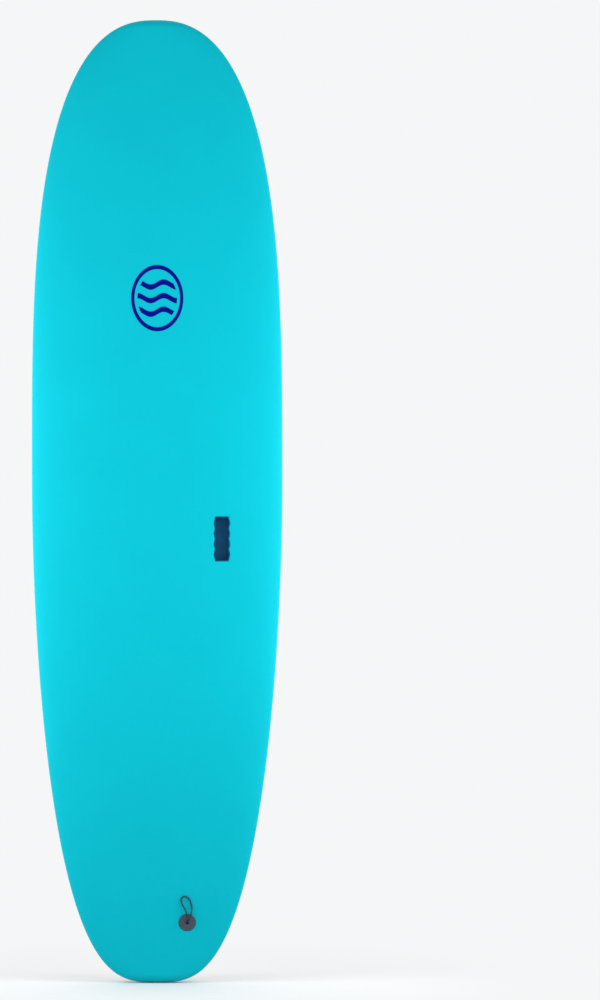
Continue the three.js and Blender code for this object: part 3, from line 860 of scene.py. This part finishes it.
PLUG_DISC = 19
PLUG_BASE = 23
DISC_DEPTH = 2.4
TUBE = 9
TUBE_END = 36
COLLAR = 12.4
COLLAR_TOP = 16
CORD_HOLE = 3.5
CORD_HOLE_DEPTH = 12
CHAMBER = 6.4
BASE_HOLE = 7
KNOT_DEPTH = 17
KNOT_SIZE = 1.2
KNOT_POINTS = 120
MOULDED_EASE = 0.35
PLUG_GREY = tint(60, 70, 84)
PLUG_DARK = tint(42, 50, 64)
BASE_BLACK = tint(22, 22, 24)
BASE_GREY = tint(38, 38, 41)


def moulded(name, first, second, depth):
    """A moulded plastic: two tones in a fine mottle, with the grain of the mould."""
    material, tree, shader, place = new_material(name)
    mottle = noise(tree, place, 1300.0, 5.0)
    grain = noise(tree, place, 4000.0)
    colour = mixed(tree, (mottle * 1.6 - 0.3).clamped(), first, second)
    paint(tree, shader, colour, grain * 0.2 + 0.36, mottle + grain * 0.7, depth)
    return material


plug_paint = moulded("plug_plastic", PLUG_DARK, PLUG_GREY, 0.05 * MM)
base_paint = moulded("base_plastic", BASE_BLACK, BASE_GREY, 0.06 * MM)
base_seat = seat_at(PLUG_X, PLUG_Z, False)
rim = 0.3 * PLUG_PROUD


def seat_cutter(radius, depth):
    """A round pocket with a slightly rolled-over mouth, as the foam and the sheet are cut."""
    rolled = [(radius + 0.2, -0.25), (radius + 0.7, 0.1), (radius + 0.9, ABOVE)]
    return [(radius, -depth), (radius, -0.8), *rolled]


combine(deck_skin, loft("plug_pocket", seat_cutter(PLUG_DISC + GAP, TUBE_END), circle, plug_seat, deck_paint))
combine(bottom_slick, loft("base_pocket", seat_cutter(PLUG_BASE + GAP, TUBE), circle, base_seat, slick_paint))

# the chamber and the tube, the disc's rim, its groove, and the lip round the cord's hole
disc_profile = [
    (CORD_HOLE, -CORD_HOLE_DEPTH), (CHAMBER, -CORD_HOLE_DEPTH), (CHAMBER, -TUBE_END), (TUBE, -TUBE_END),
    (TUBE, -DISC_DEPTH), (PLUG_DISC, -DISC_DEPTH), (PLUG_DISC, rim), (PLUG_DISC - 1.2, PLUG_PROUD),
    (PLUG_DISC - 2.6, PLUG_PROUD), (PLUG_DISC - 3.1, 0.5), (PLUG_DISC - 3.8, 0.5), (PLUG_DISC - 5, 0.85),
    (CORD_HOLE + 2.2, 0.85), (CORD_HOLE + 1.6, PLUG_PROUD), (CORD_HOLE + 0.8, PLUG_PROUD), (CORD_HOLE, rim),
]
disc_profile = eased(disc_profile, MOULDED_EASE, 3, True)
plug = loft("leash_plug_disc", disc_profile, circle, plug_seat, plug_paint, True)
base_profile = [
    (BASE_HOLE, -DISC_DEPTH), (PLUG_BASE, -DISC_DEPTH), (PLUG_BASE, rim), (PLUG_BASE - 1.2, PLUG_PROUD),
    (PLUG_BASE - 4, PLUG_PROUD), (PLUG_BASE - 4.6, 0.6), (PLUG_BASE - 5.6, 0.6),
    (PLUG_BASE - 6.2, PLUG_PROUD), (BASE_HOLE + 0.8, PLUG_PROUD), (BASE_HOLE, rim),
]
base_profile = eased(base_profile, MOULDED_EASE, 3, True)
base = loft("leash_plug_base_disc", base_profile, circle, base_seat, base_paint, True)
base_height = (plug_seat.inverted() @ base_seat.translation).z / MM
collar_profile = [
    (TUBE + GAP, base_height + DISC_DEPTH), (COLLAR, base_height + DISC_DEPTH), (COLLAR, -COLLAR_TOP),
    (TUBE + GAP, -COLLAR_TOP),
]
collar_profile = eased(collar_profile, 0.4, 3, True)
combine(base, loft("collar", collar_profile, circle, plug_seat, base_paint, True), "UNION")
for piece, node, slot_name in (
    (plug, "leash_plug_top", "plug_plastic"),
    (base, "leash_plug_base", "base_plastic"),
):
    smoothed(piece)
    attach(piece, "board")
    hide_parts(node)

knot_path = []
for k in range(KNOT_POINTS + 1):
    turn = 2 * math.pi * k / KNOT_POINTS
    x = KNOT_SIZE * (math.sin(turn) + 2 * math.sin(2 * turn))
    y = KNOT_SIZE * (math.cos(turn) - 2 * math.cos(2 * turn))
    depth = KNOT_SIZE * 1.6 * math.sin(3 * turn) + KNOT_DEPTH
    knot_path.append(plug_seat @ (Vector((x, y, -depth)) * MM))
knot_mesh = tube_mesh("leash_cord_knot", knot_path, CORD_RADIUS, CORD_SIDES)
knot = add_object("leash_cord_knot", knot_mesh, cord_paint)
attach(knot, "board")
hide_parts("leash_knot")

loop_length = sum((b - a).length for a, b in zip(loop_path, loop_path[1:]))


# ---- Fin boxes ----
# Glass-filled nylon boxes bonded into the core under the bottom. Each one's slot takes a fin's tab, which a
# stainless set screw holds: it turns in a brass insert moulded into the nose end.

SIDE_FIN_X = 172 * MM
SIDE_FIN_Z = 320 * MM
CENTRE_FIN_Z = 132 * MM
TOE_IN = math.radians(2.2)
SLOT_HALF_WIDTH = 3.4
SLOT_STRAIGHT = 52 - SLOT_HALF_WIDTH
SLOT_DEPTH = 20
NECK_WALL = 1.3
NECK_TOP = 0.3
BOX_HALF_WIDTH = 10
BOX_LOW = -60
BOX_HIGH = 70
BOX_DEPTH = 23
BOX_TOP = 6.3
BOX_CORNER = 4
SCREW_Y = 62
SCREW_RADIUS = 2.4
SCREW_TOP = 1.4
SCREW_END = 10.6
THREAD_PITCH = 0.8
THREAD_DEPTH = 0.28
HEX_RADIUS = 1.45
HEX_DEPTH = 4
INSERT_BORE = 2.7
INSERT_RADIUS = 3.7
INSERT_TOP = 0.6
INSERT_END = 12.6
BOSS_BORE = 4.0
BOSS_RADIUS = 5.2
KNURLS = 26
KNURL_DEPTH = 0.12
ARC_STEPS = 20
BOX_GREY = tint(112, 110, 107)
BOX_DARK = tint(84, 82, 80)
BRASS = tint(196, 160, 92)
BRASS_DARK = tint(168, 130, 66)
STEEL = tint(196, 198, 201)
STEEL_DARK = tint(160, 162, 166)


def slotted(half_width, height):
    """A round-ended slot's outline along Y."""
    points = []
    for side in (1, -1):
        for k in range(ARC_STEPS + 1):
            angle = math.pi * k / ARC_STEPS
            along = SLOT_STRAIGHT + half_width * math.sin(angle)
            points.append((side * half_width * math.cos(angle), side * along))
    return points


def block(margin, height):
    """A rounded rectangle, grown outwards by a margin."""
    radius = BOX_CORNER + margin
    points = []
    for k, (across, along) in enumerate(((1, 1), (-1, 1), (-1, -1), (1, -1))):
        x = across * (BOX_HALF_WIDTH - BOX_CORNER)
        y = BOX_HIGH - BOX_CORNER if along > 0 else BOX_LOW + BOX_CORNER
        for step in range(ARC_STEPS + 1):
            angle = math.pi / 2 * (k + step / ARC_STEPS)
            points.append((x + radius * math.cos(angle), y + radius * math.sin(angle)))
    return points


def knurled(radius, height):
    """A circle whose outer face, but not its bore, has straight knurling."""
    depth = KNURL_DEPTH if radius > INSERT_BORE + 0.5 else 0
    points = []
    for k, (x, y) in enumerate(circle(1, height, 4 * KNURLS)):
        size = radius - depth * (k % 4 > 1)
        points.append((x * size, y * size))
    return points


def threaded(radius, height):
    """A circle with one turn of a screw thread, which climbs with the height."""
    points = []
    for k, (x, y) in enumerate(circle(1, height)):
        phase = (height / THREAD_PITCH - k / 64) % 1
        size = radius - THREAD_DEPTH * 2 * min(phase, 1 - phase) * (radius > SCREW_RADIUS - 0.05)
        points.append((x * size, y * size))
    return points


def metal(name, first, second, roughness):
    """A machined metal with fine turning marks and a faint tarnish."""
    material, tree, shader, place = new_material(name)
    tarnish = noise(tree, place, 400.0, 5.0)
    marks = noise(tree, place, 9000.0, 2.0)
    paint(tree, shader, mixed(tree, tarnish, first, second), tarnish * 0.2 + roughness, marks, 0.02 * MM)
    shader.inputs["Metallic"].default_value = 1.0
    return material


box_paint = moulded("box_plastic", BOX_DARK, BOX_GREY, 0.06 * MM)
brass_paint = metal("insert_brass", BRASS_DARK, BRASS, 0.2)
steel_paint = metal("screw_steel", STEEL_DARK, STEEL, 0.16)
neck = SLOT_HALF_WIDTH + NECK_WALL
box_profile = eased([(-3, -BOX_DEPTH), (0, -BOX_DEPTH), (0, -BOX_TOP), (-3, -BOX_TOP)], 0.8)
neck_profile = eased(
    [(neck - 1.2, -BOX_DEPTH / 2), (neck, -BOX_DEPTH / 2), (neck, -NECK_TOP), (neck - 1.2, -NECK_TOP)], 0.3
)
slot_profile = [
    (SLOT_HALF_WIDTH, -SLOT_DEPTH),
    (SLOT_HALF_WIDTH, -NECK_TOP - 0.5),
    (SLOT_HALF_WIDTH + 0.15, -NECK_TOP - 0.15),
    (SLOT_HALF_WIDTH + 0.4, -NECK_TOP + 0.1),
    (SLOT_HALF_WIDTH + 0.4, ABOVE),
]
boss_profile = [(BOSS_RADIUS, -BOX_DEPTH / 2), (BOSS_RADIUS, -NECK_TOP - 0.2), (BOSS_RADIUS - 0.2, -NECK_TOP)]
bore_profile = [
    (BOSS_BORE, -INSERT_END - GAP),
    (BOSS_BORE, -0.6),
    (BOSS_BORE + 0.3, -0.2),
    (BOSS_BORE + 0.3, ABOVE),
]
insert_profile = [
    (INSERT_BORE, -INSERT_END),
    (INSERT_RADIUS, -INSERT_END),
    (INSERT_RADIUS, -INSERT_TOP),
    (INSERT_BORE, -INSERT_TOP),
]
insert_profile = eased(insert_profile, 0.15, 2, True)
THREADED = SCREW_END - SCREW_TOP - 1.4
thread_steps = round(THREADED / THREAD_PITCH * 8)
screw_profile = [(0.6, -SCREW_END), (1.4, -SCREW_END), (SCREW_RADIUS - 0.1, -SCREW_END + 1)]
for k in range(thread_steps + 1):
    screw_profile.append((SCREW_RADIUS, -SCREW_END + 1.1 + THREADED * k / thread_steps))
screw_profile.append((SCREW_RADIUS - 0.1, -SCREW_TOP - 0.25))
screw_profile += [(SCREW_RADIUS - 0.35, -SCREW_TOP), (0.6, -SCREW_TOP)]
socket_profile = [
    (HEX_RADIUS, -SCREW_TOP - HEX_DEPTH),
    (HEX_RADIUS, -SCREW_TOP - 0.25),
    (HEX_RADIUS + 0.25, -SCREW_TOP),
    (HEX_RADIUS + 0.25, ABOVE),
]


def hexagon(radius, height):
    return circle(radius, height, 6)


def sheet_cut(size):
    """How the bottom sheet is cut round a neck or a boss of a size."""
    hole = size + GAP
    return [(hole, -TUBE), (hole, -0.3), (hole + 0.25, 0.05), (hole + 0.25, ABOVE)]


FINS = {
    "left": seat_at(-SIDE_FIN_X, SIDE_FIN_Z, False, TOE_IN),
    "right": seat_at(SIDE_FIN_X, SIDE_FIN_Z, False, -TOE_IN),
    "centre": seat_at(0, CENTRE_FIN_Z, False),
}
for side, seat in FINS.items():
    screw_seat = seat @ Matrix.Translation((0, SCREW_Y * MM, 0))
    fin_box = loft(f"fin_box_{side}_body", box_profile, block, seat, box_paint)
    combine(fin_box, loft("neck", neck_profile, slotted, seat, box_paint), "UNION")
    combine(fin_box, loft("boss", boss_profile, circle, screw_seat, box_paint), "UNION")
    combine(fin_box, loft("slot", slot_profile, slotted, seat, box_paint))
    combine(fin_box, loft("bore", bore_profile, circle, screw_seat, box_paint))
    insert = loft(f"fin_insert_{side}_sleeve", insert_profile, knurled, screw_seat, brass_paint, True)
    screw = loft(f"fin_screw_{side}_threaded", screw_profile, threaded, screw_seat, steel_paint)
    combine(screw, loft("socket", socket_profile, hexagon, screw_seat, steel_paint))
    combine(bottom_slick, loft("sheet_slot", sheet_cut(neck), slotted, seat, slick_paint))
    combine(bottom_slick, loft("sheet_bore", sheet_cut(BOSS_RADIUS), circle, screw_seat, slick_paint))
    for piece, node, slot_name, body in (
        (fin_box, "fin_box", "box_plastic", "board"),
        (insert, "fin_insert", "insert_brass", "board"),
        (screw, "fin_screw", "screw_steel", f"screw_{side}"),
    ):
        smoothed(piece)
        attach(piece, body)
        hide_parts(f"{node}_{side}")

for piece, nodes, slot_name in (
    (deck_skin, ("deck_skin_tail", "deck_skin_middle", "deck_skin_nose"), "deck_foam"),
    (bottom_slick, ("bottom_slick",), "slick_sheet"),
):
    smoothed(piece, 40)
    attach(piece, "board")
    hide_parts(*nodes)


# ---- Inside the board ----
# The core is white bead foam with wooden stringers glued in along its length, under a glass and resin
# laminate; a closed-cell foam backs the bottom sheet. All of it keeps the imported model's shapes.

# beads and cells to the metre, and threads of the glass in radians to the metre
CORE_BEADS = 260.0
BACKING_CELLS = 800.0
GLASS_WEAVE = 4200
ALONG_GRAIN = (30.0, 30.0, 1.6)
SEAM_GREY = tint(212, 212, 208)
BEAD_WHITE = tint(244, 244, 241)
WOOD_DARK = tint(150, 108, 62)
WOOD_LIGHT = tint(206, 168, 112)
RESIN_DARK = tint(196, 192, 168)
RESIN_LIGHT = tint(226, 222, 204)
BACKING_GREY = tint(206, 206, 202)
BACKING_WHITE = tint(228, 228, 224)

core_paint, tree, shader, place = new_material("core_foam")
bead = cells(tree, place, CORE_BEADS)
seam = cells(tree, place, CORE_BEADS, "DISTANCE_TO_EDGE")
bead_colour = mixed(tree, (seam * 9).clamped(), SEAM_GREY, BEAD_WHITE)
paint(tree, shader, bead_colour, bead * 0.2 + 0.65, seam * 4, 0.6 * MM)

wood_paint, tree, shader, place = new_material("stringer_wood")
stretched = new_node(tree, "ShaderNodeMapping", inputs={"Vector": place, "Scale": ALONG_GRAIN})
grain = noise(tree, stretched.outputs[0], 9.0, 6.0)
fibre = noise(tree, stretched.outputs[0], 60.0, 4.0)
wood_colour = mixed(tree, (grain * 1.8 - 0.4).clamped(), WOOD_DARK, WOOD_LIGHT)
paint(tree, shader, wood_colour, fibre * 0.3 + 0.5, fibre, 0.15 * MM)

glass_paint, tree, shader, place = new_material("glass_laminate")
spot = new_node(tree, "ShaderNodeSeparateXYZ", inputs={0: place})
weave = sine(Rule(tree, spot.outputs["X"]) * GLASS_WEAVE) * sine(Rule(tree, spot.outputs["Z"]) * GLASS_WEAVE)
resin = noise(tree, place, 30.0)
glass_colour = mixed(tree, (weave * 0.3 + resin * 0.6).clamped(), RESIN_DARK, RESIN_LIGHT)
paint(tree, shader, glass_colour, resin * 0.2 + 0.2, weave, 0.08 * MM)

backing_paint, tree, shader, place = new_material("backing_foam")
cell = cells(tree, place, BACKING_CELLS)
backing_colour = mixed(tree, cell.clamped(), BACKING_GREY, BACKING_WHITE)
paint(tree, shader, backing_colour, cell * 0.2 + 0.6, cell, 0.3 * MM)

INNER = {
    "core_": core_paint,
    "stringer_": wood_paint,
    "deck_laminate": glass_paint,
    "bottom_laminate": glass_paint,
    "bottom_backing": backing_paint,
}
for node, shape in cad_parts.items():
    for start, material in INNER.items():
        if node.startswith(start):
            shape.data.materials.clear()
            shape.data.materials.append(material)
